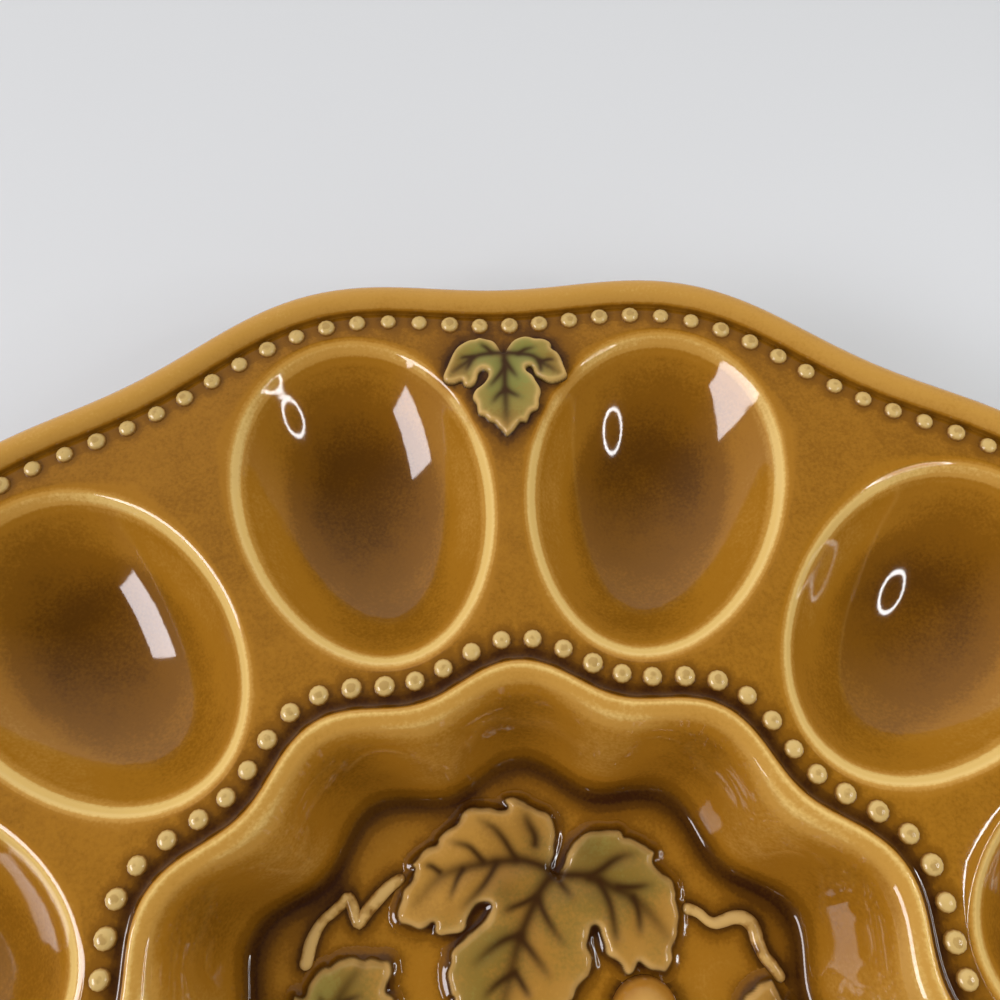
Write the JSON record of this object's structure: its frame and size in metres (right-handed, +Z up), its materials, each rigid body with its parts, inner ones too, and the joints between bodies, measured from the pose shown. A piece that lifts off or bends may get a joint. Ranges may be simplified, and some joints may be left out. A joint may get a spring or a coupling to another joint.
{
  "type": "deviled egg platter",
  "caption": "Scalloped amber earthenware platter with a ring of egg-shaped wells around a deep centre well, trimmed with beads, vine leaves and grapes.",
  "frame": {"origin": "on the table, under the middle of the foot ring", "axes": "+Z up out of the platter, +Y towards the first rim leaf"},
  "size_m": [0.298, 0.298, 0.0318],
  "materials": {
    "amber_glaze": "glossy translucent amber glaze, dark where it pools",
    "bead_glaze": "thin pale amber glaze",
    "leaf_glaze": "olive green and tan glaze, brown in the veins",
    "tendril_glaze": "tan glaze",
    "bare_clay": "unglazed buff earthenware"
  },
  "bodies": {
    "root": {"platter_body": "amber_glaze", "foot_ring": "bare_clay", "outer_beads": "bead_glaze", "inner_beads": "bead_glaze", "rim_leaf_1": "leaf_glaze", "rim_leaf_2": "leaf_glaze", "rim_leaf_3": "leaf_glaze", "rim_leaf_4": "leaf_glaze", "vine_leaf_1": "leaf_glaze", "vine_leaf_2": "leaf_glaze", "vine_leaf_3": "leaf_glaze", "vine_leaf_4": "leaf_glaze", "vine_leaf_5": "leaf_glaze", "tendril_1": "tendril_glaze", "tendril_2": "tendril_glaze", "tendril_3": "tendril_glaze", "tendril_4": "tendril_glaze", "grape_bunch": "amber_glaze"}
  },
  "joints": []
}
